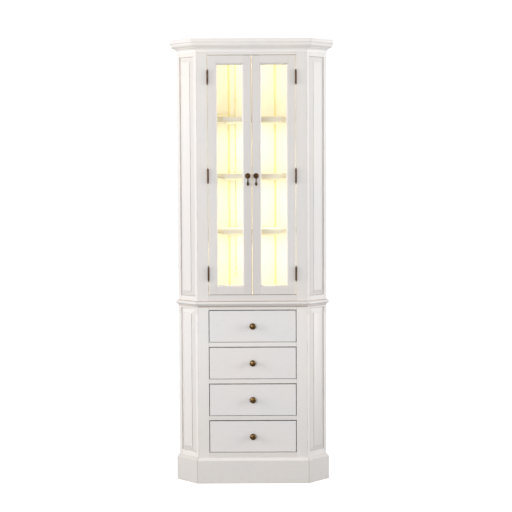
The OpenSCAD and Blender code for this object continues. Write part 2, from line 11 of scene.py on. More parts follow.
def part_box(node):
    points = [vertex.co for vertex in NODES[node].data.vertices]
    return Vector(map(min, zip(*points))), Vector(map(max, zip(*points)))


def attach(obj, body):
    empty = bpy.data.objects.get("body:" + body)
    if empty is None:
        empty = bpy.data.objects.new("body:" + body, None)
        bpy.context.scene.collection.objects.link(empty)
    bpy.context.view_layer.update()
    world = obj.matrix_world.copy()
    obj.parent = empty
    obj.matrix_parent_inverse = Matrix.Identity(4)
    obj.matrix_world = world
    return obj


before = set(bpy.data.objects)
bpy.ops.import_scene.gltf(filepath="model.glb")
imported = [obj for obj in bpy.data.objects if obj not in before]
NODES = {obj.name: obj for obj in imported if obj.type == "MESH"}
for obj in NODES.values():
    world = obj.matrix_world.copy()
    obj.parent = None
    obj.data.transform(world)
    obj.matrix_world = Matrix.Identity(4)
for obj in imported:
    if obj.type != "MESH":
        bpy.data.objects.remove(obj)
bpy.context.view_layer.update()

# ---- places taken from the frame ----

STILES_LOW, STILES_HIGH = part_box("base_front_stiles")
FRONT_Y = STILES_LOW.y
FRAME_T = STILES_HIGH.y - STILES_LOW.y
FRONT_HALF = STILES_HIGH.x
GLASS_LOW, GLASS_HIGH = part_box("right_door_glass")
BARS_LOW, BARS_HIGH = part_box("light_diffusers")
CASE_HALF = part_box("waist_board")[1].x
BACK_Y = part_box("waist_board")[1].y
BACK_HALF = CASE_HALF - (BACK_Y - FRONT_Y - (CASE_HALF - FRONT_HALF))
LIT_UNDERSIDES = [
    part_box(name)[0].z for name in ("shelf_lower", "shelf_middle", "shelf_upper", "top_board")
]
WAIST_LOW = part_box("waist_board")[0].z
WAIST_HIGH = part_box("waist_board")[1].z
CROWN_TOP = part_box("top_board")[1].z
CROWN_BAND = 0.017
CROWN_OVOLO = 0.019
OPEN_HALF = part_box("base_front_rails")[1].x
HINGES_LOW, HINGES_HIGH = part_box("hinge_frame_leaves")
LEAF_LENGTH = 0.060
HINGE_LEVELS = (
    HINGES_LOW.z + LEAF_LENGTH / 2,
    (HINGES_LOW.z + HINGES_HIGH.z) / 2,
    HINGES_HIGH.z - LEAF_LENGTH / 2,
)
LEAF_T = 0.0008
LEAF_GAP = 0.0004
SIDE_FRONT_STILE = 0.017
SIDE_REAR_STILE = 0.016
CANT_LENGTH = (CASE_HALF - FRONT_HALF) * math.sqrt(2)
MITRE = math.tan(math.radians(22.5))

# ---- camera, floor and lights: angles in radians, power in watts ----

LENS = 91.4
CAMERA_AT = (0.0172, -6.1144, 1.482)
CAMERA_TILT = 0.0706
CAMERA_ROLL = -0.0043
WARM_WHITE = (1.0, 0.912, 0.622)
CASE_POWER = (0.76, 0.74, 0.72, 0.80)
CASE_TILT = 0.30
BAR_HEIGHT = 0.009
LAMP_BELOW_BAR = 0.003
STUDIO_TARGET = (0, 0, 1.35)
SENSOR_WIDTH = 36
SEEN_WORLD = 1.05
WORLD_FILL = 0.50
FILL_TINT = (1.0, 0.985, 0.975, 1)
FLOOR_HALF = 14
FLOOR_GREY = 0.28
FLOOR_GLOW = 0.90


def add_camera():
    """The photograph's view: from the front, a little above the middle."""
    data = bpy.data.cameras.new("camera")
    data.sensor_width = SENSOR_WIDTH
    data.lens = LENS
    camera = bpy.data.objects.new("camera", data)
    camera.matrix_world = (
        Matrix.Translation(CAMERA_AT)
        @ Matrix.Rotation(math.pi / 2 - CAMERA_TILT, 4, "X")
        @ Matrix.Rotation(CAMERA_ROLL, 4, "Z")
    )
    bpy.context.scene.collection.objects.link(camera)
    bpy.context.scene.camera = camera


def add_area(name, at, turn, size, power, colour):
    """A rectangular lamp that shines along its own -Z."""
    data = bpy.data.lights.new(name, "AREA")
    data.shape = "RECTANGLE"
    data.size, data.size_y = size
    data.energy = power
    data.color = colour
    lamp = bpy.data.objects.new(name, data)
    lamp.location = at
    lamp.rotation_euler = turn
    bpy.context.scene.collection.objects.link(lamp)


def aimed(at, target):
    """The turn of a lamp that looks from one point at another."""
    return (Vector(target) - Vector(at)).to_track_quat("-Z", "Y").to_euler()


def add_studio():
    """Two soft boxes beside the cabinet and one to the left of the camera."""
    boxes = (
        ("left_softbox", (-3.86, -1.04, 1.7), (1.6, 2.4), 80, (1.0, 0.99, 0.975)),
        ("right_softbox", (3.86, -1.04, 1.6), (1.6, 2.4), 88, (0.985, 0.99, 1.0)),
        ("front_softbox", (-1.85, -5.2, 1.7), (2.6, 2.0), 98, (1.0, 0.985, 0.975)),
    )
    for name, at, size, power, colour in boxes:
        add_area(name, at, aimed(at, STUDIO_TARGET), size, power, colour)


def add_world():
    """White where the camera sees it, and a dimmer, slightly warm fill elsewhere."""
    world = bpy.data.worlds.new("studio")
    world.use_nodes = True
    nodes, links = world.node_tree.nodes, world.node_tree.links
    nodes.clear()
    out = nodes.new("ShaderNodeOutputWorld")
    seen = nodes.new("ShaderNodeBackground")
    seen.inputs["Color"].default_value = (1, 1, 1, 1)
    seen.inputs["Strength"].default_value = SEEN_WORLD
    fill = nodes.new("ShaderNodeBackground")
    fill.inputs["Color"].default_value = FILL_TINT
    fill.inputs["Strength"].default_value = WORLD_FILL
    path = nodes.new("ShaderNodeLightPath")
    pick = nodes.new("ShaderNodeMixShader")
    links.new(path.outputs["Is Camera Ray"], pick.inputs[0])
    links.new(fill.outputs[0], pick.inputs[1])
    links.new(seen.outputs[0], pick.inputs[2])
    links.new(pick.outputs[0], out.inputs[0])
    bpy.context.scene.world = world
    view = bpy.context.scene.view_settings
    view.view_transform = "Standard"
    view.look = "None"
    view.exposure = 0
    view.gamma = 1


def add_floor():
    """A pale floor that the camera sees as white."""
    half = FLOOR_HALF
    corners = [(-half, -half, 0), (half, -half, 0), (half, half, 0), (-half, half, 0)]
    mesh = bpy.data.meshes.new("floor")
    mesh.from_pydata(corners, [], [(0, 1, 2, 3)])
    floor = bpy.data.objects.new("floor", mesh)
    bpy.context.scene.collection.objects.link(floor)
    t = Tree("floor_paint")
    t.set(Roughness=0.9, Base_Color=(FLOOR_GREY,) * 3, Emission_Color=(1, 1, 1))
    path = t.nodes.new("ShaderNodeLightPath").outputs["Is Camera Ray"]
    t.set(Emission_Strength=t.math("MULTIPLY", path, FLOOR_GLOW))
    floor.data.materials.append(t.mat)


def add_case_lights():
    """A warm lamp just below each light bar of the display case."""
    y = (BARS_LOW.y + BARS_HIGH.y) / 2
    size = (BARS_HIGH.x - BARS_LOW.x, BARS_HIGH.y - BARS_LOW.y)
    for k, (z, power) in enumerate(zip(LIT_UNDERSIDES, CASE_POWER)):
        at = (0, y, z - BAR_HEIGHT - LAMP_BELOW_BAR)
        add_area(f"case_light_{k}", at, (CASE_TILT, 0, 0), size, power, WARM_WHITE)


# ---- node trees ----

SHARP_EDGE = (0.995, 0.80)
SOFT_RIM = 0.3


def scaled(values, by):
    """Three values times a number, or each times its own."""
    if isinstance(by, (int, float)):
        by = (by, by, by)
    return tuple(value * factor for value, factor in zip(values, by))


class Tree:
    """One material, with short ways to add its nodes."""

    def __init__(self, name):
        self.mat = bpy.data.materials.new(name)
        self.mat.use_nodes = True
        self.nodes = self.mat.node_tree.nodes
        self.links = self.mat.node_tree.links
        self.nodes.clear()
        self.out = self.nodes.new("ShaderNodeOutputMaterial")
        self.shader = self.nodes.new("ShaderNodeBsdfPrincipled")
        self.links.new(self.shader.outputs[0], self.out.inputs["Surface"])
        self.place = self.nodes.new("ShaderNodeTexCoord").outputs["Object"]

    def feed(self, socket, value):
        """Link a socket, or set its value; a colour may leave out its alpha."""
        if isinstance(value, bpy.types.NodeSocket):
            self.links.new(value, socket)
        else:
            if not isinstance(value, (int, float)) and len(value) == 3 and socket.type == "RGBA":
                value = (*value, 1)
            socket.default_value = value

    def set(self, **values):
        for key, value in values.items():
            self.feed(self.shader.inputs[key.replace("_", " ")], value)

    def math(self, op, a, b=0.0, clamp=False):
        node = self.nodes.new("ShaderNodeMath")
        node.operation = op
        node.use_clamp = clamp
        self.feed(node.inputs[0], a)
        self.feed(node.inputs[1], b)
        return node.outputs[0]

    def times(self, *values):
        product = values[0]
        for value in values[1:]:
            product = self.math("MULTIPLY", product, value)
        return product

    def most(self, *values):
        top = values[0]
        for value in values[1:]:
            top = self.math("MAXIMUM", top, value)
        return top

    def dot(self, a, b):
        node = self.nodes.new("ShaderNodeVectorMath")
        node.operation = "DOT_PRODUCT"
        self.feed(node.inputs[0], a)
        self.feed(node.inputs[1], b)
        return node.outputs["Value"]

    def noise(self, scale, detail=2.0, rough=0.5, shift=0.0, warp=0.0):
        """Noise of about that many waves a metre; scale may differ by axis."""
        if isinstance(scale, (int, float)):
            scale = (scale, scale, scale)
        node = self.nodes.new("ShaderNodeTexNoise")
        place = self.nodes.new("ShaderNodeMapping")
        self.links.new(self.place, place.inputs["Vector"])
        place.inputs["Scale"].default_value = scale
        place.inputs["Location"].default_value = (shift, 2 * shift, 3 * shift)
        self.links.new(place.outputs[0], node.inputs["Vector"])
        node.inputs["Scale"].default_value = 1
        node.inputs["Detail"].default_value = detail
        node.inputs["Roughness"].default_value = rough
        node.inputs["Distortion"].default_value = warp
        return node.outputs["Fac"]

    def fit(self, value, low, high, to_low=0.0, to_high=1.0):
        """A smooth step: to_low where value is low, to_high where it is high."""
        node = self.nodes.new("ShaderNodeMapRange")
        node.interpolation_type = "SMOOTHSTEP"
        self.feed(node.inputs["Value"], value)
        node.inputs["From Min"].default_value = low
        node.inputs["From Max"].default_value = high
        node.inputs["To Min"].default_value = to_low
        node.inputs["To Max"].default_value = to_high
        return node.outputs[0]

    def mix(self, factor, a, b):
        """Colour a where factor is 0, b where it is 1."""
        node = self.nodes.new("ShaderNodeMix")
        node.data_type = "RGBA"
        self.feed(node.inputs[0], factor)
        self.feed(node.inputs[6], a)
        self.feed(node.inputs[7], b)
        return node.outputs[2]

    def blend(self, factor, a, b):
        """Number a where factor is 0, b where it is 1."""
        node = self.nodes.new("ShaderNodeMix")
        self.feed(node.inputs[0], factor)
        self.feed(node.inputs[2], a)
        self.feed(node.inputs[3], b)
        return node.outputs[0]

    def edges(self, radius):
        """1 on a sharp edge of the piece, 0 away from it."""
        bevel = self.nodes.new("ShaderNodeBevel")
        bevel.samples = 4
        bevel.inputs["Radius"].default_value = radius
        plain = self.nodes.new("ShaderNodeNewGeometry").outputs["Normal"]
        turned = self.dot(bevel.outputs[0], plain)
        return self.fit(turned, *SHARP_EDGE)

    def hollows(self, distance):
        """1 deep in a corner or a gap, 0 in the open."""
        node = self.nodes.new("ShaderNodeAmbientOcclusion")
        node.samples = 4
        node.inputs["Distance"].default_value = distance
        return self.math("SUBTRACT", 1.0, node.outputs["AO"], clamp=True)

    def bump(self, height, distance, strength=1.0, under=None):
        node = self.nodes.new("ShaderNodeBump")
        node.inputs["Strength"].default_value = strength
        node.inputs["Distance"].default_value = distance
        self.feed(node.inputs["Height"], height)
        if under is not None:
            self.links.new(under, node.inputs["Normal"])
        self.links.new(node.outputs[0], self.shader.inputs["Normal"])
        return node.outputs[0]

    def apart(self):
        """x, y and z of the point, in metres."""
        node = self.nodes.new("ShaderNodeSeparateXYZ")
        self.links.new(self.place, node.inputs[0])
        return node.outputs

    def near(self, value, at, half):
        """1 where value is at a place, 0 more than half away from it."""
        away = self.math("ABSOLUTE", self.math("SUBTRACT", value, at))
        return self.fit(away, half, SOFT_RIM * half)


# ---- painted wood ----

BROWN = (0.13, 0.07, 0.045)
# painted shade: the dark brown given to the thickness of the fronts, so that the gaps look dark
GAP_SHADE_BROWN = (0.060, 0.034, 0.024)
GLAZE_AND_SHADE_BROWN = (0.42, 0.31, 0.24)
STROKES_UP = (520, 520, 7)
STROKES_LEVEL = (7, 7, 520)
GRAIN_TO_STROKES = 0.35
WARM_TINT = (1.0, 0.972, 0.935)
COOL_TINT = (0.965, 0.962, 0.955)
DARKENED_TINT = (0.80, 0.784, 0.776)
STROKE_SHADE = 0.72
MOTTLE_SHADE = 0.76
LOW_SHADE_AND_SCUFF = 0.80
CANT_SHADE = 0.72
WEAR_WIDTH = 0.0024
GLAZE_AND_SHADE_REACH = 0.009
GAP_SHADE_FRONT = (0.0001, 0.0008)
GAP_SHADE_REAR = (0.0004, 0.0014)
DOOR_REBATE = 0.0005
SEAM_HALF = 0.004
LINE_HALF = 0.0022
LOWER_CROWN_LINE = 0.25
CROWN_RETURN_FADE = 0.012
CROWN_RETURN_DARKENING = 0.60
WAIST_LINE_HALVES = (0.0045, 0.0036)
WAIST_SHADOW_DROP = 0.0025
QUIRK_REACH = (0.0045, 0.0010)
MITRE_LINE_HALF = 0.0013
MEETING_EDGE = (0.0034, 0.0022)
GROOVE_DEPTH = 0.006
CORNER_LINE_HALF = 0.010
DARKENING_TOP = CROWN_TOP - 0.15
DARKENING_FULL = WAIST_HIGH + 0.30
DARKENING_FULL_ON_STILES = WAIST_HIGH + 0.15
DARKENING_FOOT_FADE = 0.002
STILE_DARKENING = (0.15, 0.62)
DOOR_FOOT_DARKENING = 0.35
DOOR_FOOT_FADE = 0.02


def rails_of_doors(t):
    """Where the wood of the doors runs level: between the stiles."""
    x = t.math("ABSOLUTE", t.apart()[0])
    inner = t.math("GREATER_THAN", x, GLASS_LOW.x)
    outer = t.math("LESS_THAN", x, GLASS_HIGH.x)
    return t.times(inner, outer)


def along_cant(t):
    """Distance along a canted side from the front corner."""
    x, y, _ = t.apart()
    out = t.math("SUBTRACT", t.math("ABSOLUTE", x), FRONT_HALF)
    back = t.math("SUBTRACT", y, FRONT_Y)
    return t.times(t.math("ADD", out, back), math.sqrt(0.5))


def rails_of_sides(t):
    """Where the wood of the canted frames runs level: between the stiles."""
    along = along_cant(t)
    inner = t.math("GREATER_THAN", along, SIDE_FRONT_STILE)
    outer = t.math("LESS_THAN", along, CANT_LENGTH - SIDE_REAR_STILE)
    return t.times(inner, outer)


def gap_faces(t):
    """The thickness of a front, which shows only inside the gaps around it, and which is painted dark
    as the gaps' shade.
    """
    deep = t.math("SUBTRACT", t.apart()[1], FRONT_Y)
    rear = t.math("SUBTRACT", FRAME_T, deep)
    return t.times(t.fit(deep, *GAP_SHADE_FRONT), t.fit(rear, *GAP_SHADE_REAR))


def door_seams(t):
    """The glued seams between the rails and stiles of a door, filled with paint."""
    x = t.math("ABSOLUTE", t.apart()[0])
    inner, outer = GLASS_LOW.x - DOOR_REBATE, GLASS_HIGH.x + DOOR_REBATE
    return t.most(t.near(x, inner, SEAM_HALF), t.near(x, outer, SEAM_HALF))


def meeting_edges(t):
    """The rubbed edges where the two doors meet."""
    return t.fit(t.math("ABSOLUTE", t.apart()[0]), *MEETING_EDGE)


def waist_lines(t):
    """Glaze left along the top of the waist board, and a painted shadow just below it."""
    z = t.apart()[2]
    low_half, high_half = WAIST_LINE_HALVES
    return t.most(t.near(z, WAIST_LOW - WAIST_SHADOW_DROP, low_half), t.near(z, WAIST_HIGH, high_half))


def waist_quirks(t):
    """The same glaze and painted shadow, only where the moulding meets the faces behind it."""
    x, y, _ = t.apart()
    front = t.math("SUBTRACT", FRONT_Y, y)
    cant = t.math("ADD", t.math("SUBTRACT", t.math("ABSOLUTE", x), FRONT_HALF), front)
    proud = t.most(front, t.times(cant, math.sqrt(0.5)))
    return t.times(waist_lines(t), t.fit(proud, *QUIRK_REACH))


def crown_lines(t):
    """Glaze left in the quirks between the members of the crown."""
    z = t.apart()[2]
    top = CROWN_TOP - CROWN_BAND
    lower = t.times(t.near(z, top - CROWN_OVOLO, LINE_HALF), LOWER_CROWN_LINE)
    return t.most(t.near(z, top, LINE_HALF), lower)


def past_mitre(t):
    """Distance outward from the planes in which the mouldings are mitred."""
    x, y, _ = t.apart()
    spread = t.times(t.math("SUBTRACT", FRONT_Y, y), MITRE)
    return t.math("SUBTRACT", t.math("ABSOLUTE", x), t.math("ADD", spread, FRONT_HALF))


def crown_returns(t):
    """Darker paint on the band and upper round of the crown where it runs along the canted sides."""
    band = CROWN_TOP - CROWN_BAND
    high = t.fit(t.apart()[2], band - CROWN_RETURN_FADE, band)
    return t.times(t.math("GREATER_THAN", past_mitre(t), 0.0), high, CROWN_RETURN_DARKENING)


def mitre_joints(t):
    """Thin lines where the mouldings meet over the front corners."""
    return t.near(past_mitre(t), 0.0, MITRE_LINE_HALF)


def low_painted_shade(depth, foot):
    """A mask of painted shade: none at the crown, full near the waist and down to foot."""

    def mask(t):
        z = t.apart()[2]
        above = t.fit(z, foot - DARKENING_FOOT_FADE, foot + DARKENING_FOOT_FADE)
        return t.times(t.fit(z, DARKENING_TOP, DARKENING_FULL, 0.0, depth), above)

    return mask


def door_darkening(t):
    """Darker paint on the doors: growing down their meeting stiles, and at their feet."""
    x, _, z = t.apart()
    inner = t.math("LESS_THAN", t.math("ABSOLUTE", x), GLASS_LOW.x)
    stiles = t.times(inner, t.fit(z, DARKENING_TOP, DARKENING_FULL_ON_STILES, *STILE_DARKENING))
    high, low = GLASS_LOW.z + DOOR_FOOT_FADE, GLASS_LOW.z - DOOR_FOOT_FADE
    return t.most(stiles, t.fit(z, high, low, 0.0, DOOR_FOOT_DARKENING))


def corner_wax_and_shade(t):
    """A gold line of wax and painted shade down the two rear corners of the display case."""
    x, y, _ = t.apart()
    back = t.math("SUBTRACT", BACK_Y, y)
    across = t.math("SUBTRACT", t.math("ABSOLUTE", x), BACK_HALF)
    across = t.math("ADD", across, t.times(back, MITRE))
    inner = t.math("GREATER_THAN", back, GROOVE_DEPTH)
    return t.times(t.near(across, 0.0, CORNER_LINE_HALF), inner)


def brush(t, strokes, level_from):
    """Fine and coarse brush strokes, level where level_from is 1."""

    def laid(direction):
        fine = t.noise(direction, detail=3, rough=0.6)
        coarse = t.noise(scaled(direction, GRAIN_TO_STROKES), detail=2, shift=3.1)
        return fine, coarse

    if level_from is None:
        return laid(strokes)
    mask = level_from(t)
    return [t.blend(mask, up, level) for up, level in zip(laid(STROKES_UP), laid(STROKES_LEVEL))]


def coat(t, base, brushed, mottled):
    """The paint's own colour: broad warm and cool clouds, strokes and small mottles."""
    broad = t.noise(3.5, detail=2, shift=1.7)
    warm = scaled(base, WARM_TINT)
    colour = t.mix(t.fit(broad, 0.3, 0.7), warm, scaled(base, COOL_TINT))
    colour = t.mix(t.fit(brushed, 0.35, 0.75, 0.0, 0.12), colour, scaled(base, STROKE_SHADE))
    return t.mix(t.fit(mottled, 0.55, 0.8, 0.0, 0.12), colour, scaled(warm, MOTTLE_SHADE))


def floor_shade_and_scuffs(t, mottled, low_shade_and_scuffs):
    """Painted shade and scuffs at the foot of the piece: a broad painted shade that darkens towards
    the floor, and scuffed patches near the floor.
    """
    height = t.apart()[2]
    low = t.fit(height, 0.75, 0.02, 0.0, 0.55 * low_shade_and_scuffs)
    foot = t.times(t.fit(height, 0.14, 0.0, 0.0, low_shade_and_scuffs), t.fit(mottled, 0.35, 0.75))
    return t.most(low, foot)


def rubbed_edges(t, wear, hollow, unworn):
    """Where the paint is rubbed off: in patches along the open sharp edges."""
    patchy = t.fit(t.noise(16, detail=3, shift=8.2), 0.32, 0.66)
    nibbled = t.fit(t.noise(420, detail=3, rough=0.65, shift=2.4), 0.30, 0.62)
    rubbed = t.times(t.edges(WEAR_WIDTH), t.most(patchy, 0.35), nibbled, 0.95 * wear)
    rubbed = t.times(t.math("MINIMUM", rubbed, 1.0), t.fit(hollow, 0.45, 0.15))
    if unworn is not None:
        rubbed = t.times(rubbed, t.math("SUBTRACT", 1.0, unworn(t)))
    return rubbed


def paint(name, base, strokes, wear=1.0, hollow_glaze_and_shade=1.0, level_from=None, gaps=0.0, joints=None,
          line_depth=0.5, low_shade_and_scuffs=0.0, shaded_cants=0.0, unworn=None, darkening=None):
    """Brushed paint, rubbed through to brown wood on its edges, with glaze and painted
    shade in its hollows as strong as hollow_glaze_and_shade. level_from gives a mask, 1 where
    the strokes lie level; joints one of thin darker lines: glazed joints, and a
    painted shadow under the waist moulding. gaps is how dark the painted shade on the thickness
    of the wood is, low_shade_and_scuffs how strong the painted shade towards the floor and the
    scuffs at the foot are, shaded_cants how much painted shade its canted parts get, unworn a
    mask of edges that stay painted, and darkening one of darker paint."""
    t = Tree(name)
    warm = scaled(base, WARM_TINT)
    brushed, grain = brush(t, strokes, level_from)
    mottled = t.noise(38, detail=3, shift=5.3)
    colour = coat(t, base, brushed, mottled)
    # painted shade that darkens the paint towards the floor, with scuffed patches near it
    if low_shade_and_scuffs:
        colour = t.mix(floor_shade_and_scuffs(t, mottled, low_shade_and_scuffs), colour, scaled(warm, LOW_SHADE_AND_SCUFF))
    # painted shade: the canted sides are painted darker than the front
    if shaded_cants:
        cants = t.math("GREATER_THAN", past_mitre(t), 0.0)
        colour = t.mix(t.times(cants, shaded_cants), colour, scaled(warm, CANT_SHADE))
    # darker paint where the given mask says: painted shade lower on the case, and darker doors and
    # crown returns
    if darkening is not None:
        colour = t.mix(darkening(t), colour, scaled(base, DARKENED_TINT))
    # glaze and painted shade: the paint turns brown in hollows, corners and gaps, where shade falls
    hollow = t.hollows(GLAZE_AND_SHADE_REACH)
    rubbed = rubbed_edges(t, wear, hollow, unworn)
    crevice = t.times(t.fit(hollow, 0.22, 0.80), 0.60 * hollow_glaze_and_shade)
    # thin darker lines: glazed joints, and the painted shadow under the waist moulding
    if joints is not None:
        crevice = t.most(crevice, t.times(joints(t), line_depth))
    colour = t.mix(t.math("MINIMUM", crevice, 1.0), colour, GLAZE_AND_SHADE_BROWN)
    colour = t.mix(rubbed, colour, BROWN)
    # painted shade: the thickness of the fronts is painted dark brown, for the shade in the gaps
    # around them
    if gaps:
        gap_shade = t.times(gap_faces(t), t.fit(mottled, 0.3, 0.7, 0.85, 1.0), gaps)
        colour = t.mix(gap_shade, colour, GAP_SHADE_BROWN)
    sheen = t.fit(brushed, 0.2, 0.8, 0.40, 0.56)
    t.set(Base_Color=colour, Roughness=t.blend(rubbed, sheen, 0.78))
    coarse = t.bump(grain, 0.00025, 0.35)
    t.bump(t.math("SUBTRACT", brushed, rubbed), 0.00012, 0.5, under=coarse)
    return t.mat


CORNER_WAX_AND_SHADE_GOLD = (0.93, 0.83, 0.42)


def inner_paint(name, base, strokes, corner_lines=False):
    """Smooth cream paint inside the display case, hardly worn."""
    t = Tree(name)
    brushed = t.noise(strokes, detail=3, rough=0.6)
    broad = t.noise(5, detail=2, shift=1.7)
    colour = t.mix(t.fit(broad, 0.3, 0.7), base, scaled(base, 0.94))
    colour = t.mix(t.fit(brushed, 0.35, 0.75, 0.0, 0.10), colour, scaled(base, 0.8))
    worn = t.times(t.edges(0.0015), t.fit(t.noise(60, 3, shift=4.4), 0.45, 0.7), 0.4)
    colour = t.mix(worn, colour, GLAZE_AND_SHADE_BROWN)
    # wax and painted shade: a gold line down each rear corner of the case
    if corner_lines:
        colour = t.mix(t.times(corner_wax_and_shade(t), 0.75), colour, CORNER_WAX_AND_SHADE_GOLD)
    t.set(Base_Color=colour, Roughness=t.fit(brushed, 0.2, 0.8, 0.38, 0.52))
    t.bump(brushed, 0.00015, 0.5)
    return t.mat


# ---- bare wood, metals, plastics and glass ----


def raw_wood(name):
    """Bare pine, its grain along Y."""
    t = Tree(name)
    rings = t.noise((60, 6, 60), detail=4, rough=0.6, warp=0.4)
    fine = t.noise((900, 25, 900), detail=3, shift=4)
    colour = t.mix(t.fit(rings, 0.3, 0.7), (0.62, 0.42, 0.24), (0.48, 0.29, 0.15))
    colour = t.mix(t.fit(fine, 0.4, 0.7, 0, 0.35), colour, (0.33, 0.19, 0.10))
    t.set(Base_Color=colour, Roughness=t.fit(fine, 0, 1, 0.55, 0.75))
    t.bump(fine, 0.0002, 0.4)
    return t.mat


def metal(name, dark, bright, rough, wear=1.0):
    """Patinated metal, dark in its hollows and rubbed bright on its high spots."""
    t = Tree(name)
    cloud = t.noise(260, detail=4, rough=0.6)
    speck = t.noise(1500, detail=2, shift=3)
    shine = t.times(t.fit(cloud, 0.42, 0.68), 0.6 * wear)
    shine = t.most(shine, t.times(t.edges(0.0012), 0.8 * wear))
    crevice = t.fit(t.hollows(0.004), 0.2, 0.8)
    shine = t.times(shine, t.math("SUBTRACT", 1.0, crevice, clamp=True))
    colour = t.mix(shine, dark, bright)
    colour = t.mix(t.fit(speck, 0.55, 0.8, 0, 0.5), colour, scaled(dark, 0.4))
    t.set(Base_Color=colour, Roughness=t.blend(shine, rough + 0.2, rough), Metallic=1.0)
    t.bump(t.math("ADD", cloud, speck), 0.0001, 0.25)
    return t.mat


def plastic(name, base, rough=0.45, glow=0.0, edge_tint=None):
    """Moulded plastic; edge_tint is a colour painted along its edges."""
    t = Tree(name)
    fine = t.noise(1800, detail=2)
    cloud = t.noise(60, detail=2, shift=2)
    colour = t.mix(t.fit(cloud, 0.3, 0.7, 0, 0.25), base, scaled(base, 0.82))
    if edge_tint is not None:
        colour = t.mix(t.edges(0.004), colour, edge_tint)
    t.set(Base_Color=colour, Roughness=t.fit(fine, 0.3, 0.7, rough - 0.06, rough + 0.10))
    if glow:
        t.set(Emission_Color=WARM_WHITE, Emission_Strength=glow)
    t.bump(fine, 0.00006, 0.3)
    return t.mat


HEAD_ON_GLOSS = 0.06


def glass(name):
    """Clear pane: see-through, with a gloss that grows at grazing angles."""
    t = Tree(name)
    t.nodes.remove(t.shader)
    clear = t.nodes.new("ShaderNodeBsdfTransparent")
    clear.inputs["Color"].default_value = (0.985, 0.992, 0.988, 1)
    gloss = t.nodes.new("ShaderNodeBsdfGlossy")
    smear = t.noise((14, 14, 30), detail=4, rough=0.6, warp=0.5)
    t.feed(gloss.inputs["Roughness"], t.fit(smear, 0.35, 0.75, 0.02, 0.09))
    slant = t.nodes.new("ShaderNodeLayerWeight")
    slant.inputs["Blend"].default_value = 0.5
    grazing = t.times(t.math("POWER", slant.outputs["Facing"], 5), 0.90)
    inside = t.nodes.new("ShaderNodeNewGeometry").outputs["Backfacing"]
    outer = t.math("SUBTRACT", 1.0, inside)
    both = t.nodes.new("ShaderNodeMixShader")
    t.feed(both.inputs[0], t.times(t.math("ADD", grazing, HEAD_ON_GLOSS), outer))
    t.links.new(clear.outputs[0], both.inputs[1])
    t.links.new(gloss.outputs[0], both.inputs[2])
    t.links.new(both.outputs[0], t.out.inputs["Surface"])
    return t.mat


DIODE_PITCH = 0.0083


def diode_wave(t):
    """A wave along X that peaks once for every light-emitting diode."""
    return t.math("SINE", t.times(t.apart()[0], 2 * math.pi / DIODE_PITCH))


def diffuser(name):
    """Opal plastic, lit from behind by the diodes."""
    t = Tree(name)
    glow = t.fit(diode_wave(t), -1, 1, 3.0, 6.0)
    t.set(Base_Color=(0.9, 0.88, 0.8), Roughness=0.5)
    t.set(Emission_Color=WARM_WHITE, Emission_Strength=glow)
    return t.mat


def led_strip(name):
    """White circuit strip with yellow diodes."""
    t = Tree(name)
    spots = t.fit(diode_wave(t), 0.55, 0.7)
    colour = t.mix(spots, (0.75, 0.72, 0.66), (0.85, 0.62, 0.12))
    t.set(Base_Color=colour, Roughness=0.4)
    t.bump(spots, 0.0003, 0.6)
    return t.mat


# ---- looks and eased edges of the carried-over nodes ----

FRAME_WHITE = (0.85, 0.838, 0.832)
BASE_WHITE = (0.90, 0.893, 0.890)
# painted light: the crown's paint is whiter than the frame's, for the light it gets from below
CROWN_LIT_WHITE = (0.95, 0.94, 0.935)
DOOR_WHITE = (0.80, 0.787, 0.782)
DRAWER_WHITE = (0.865, 0.858, 0.870)
INNER_WHITE = (0.92, 0.89, 0.83)
SIDES = ("left", "right")
DRAWERS = range(1, 5)
MOULDINGS = ["plinth", "waist_moulding", "crown_moulding"]
CROWN = ["crown_moulding", "top_board"]
BOARDS = ["waist_board", "top_board"]
RAILS = ["base_front_rails", "upper_front_rails"]
STILES = ["base_front_stiles", "upper_front_stiles"]
SIDE_FRAMES = ["base_side_frames", "upper_side_frames"]
SIDE_PANELS = ["base_side_panels", "upper_side_panels"]
SHELVES = ["shelf_lower", "shelf_middle", "shelf_upper"]
DOOR_FRAMES = [f"{s}_door_frame" for s in SIDES]
DOOR_BEADS = [f"{s}_door_beads" for s in SIDES]
DRAWER_FRONTS = [f"drawer_{n}_front" for n in DRAWERS]
DRAWER_BOXES = [f"drawer_{n}_box" for n in DRAWERS]
KNOBS = [f"drawer_{n}_knob" for n in DRAWERS]
HINGES = ["hinge_frame_leaves", "hinge_pins"] + [f"{s}_door_hinge_leaves" for s in SIDES]
PULLS = [f"{s}_pull_{p}" for s in SIDES for p in ("rose", "drop")]


WELD_DISTANCE = 1e-5
FLAT_ANGLE = math.radians(0.5)
SHARP_ANGLE = math.radians(18)


def wear_on(names, material):
    """Give a material to CAD nodes."""
    for name in names:
        for slot in NODES[name].material_slots:
            slot.material = material


def ease_edges(names, width):
    """Clean the flat faces, then round off the sharp edges."""
    for name in names:
        piece = NODES[name]
        weld = piece.modifiers.new("weld", "WELD")
        weld.merge_threshold = WELD_DISTANCE
        flat = piece.modifiers.new("flat", "DECIMATE")
        flat.decimate_type = "DISSOLVE"
        flat.angle_limit = FLAT_ANGLE
        ease = piece.modifiers.new("ease", "BEVEL")
        ease.width = width
        ease.segments = 2
        ease.limit_method = "ANGLE"
        ease.angle_limit = SHARP_ANGLE


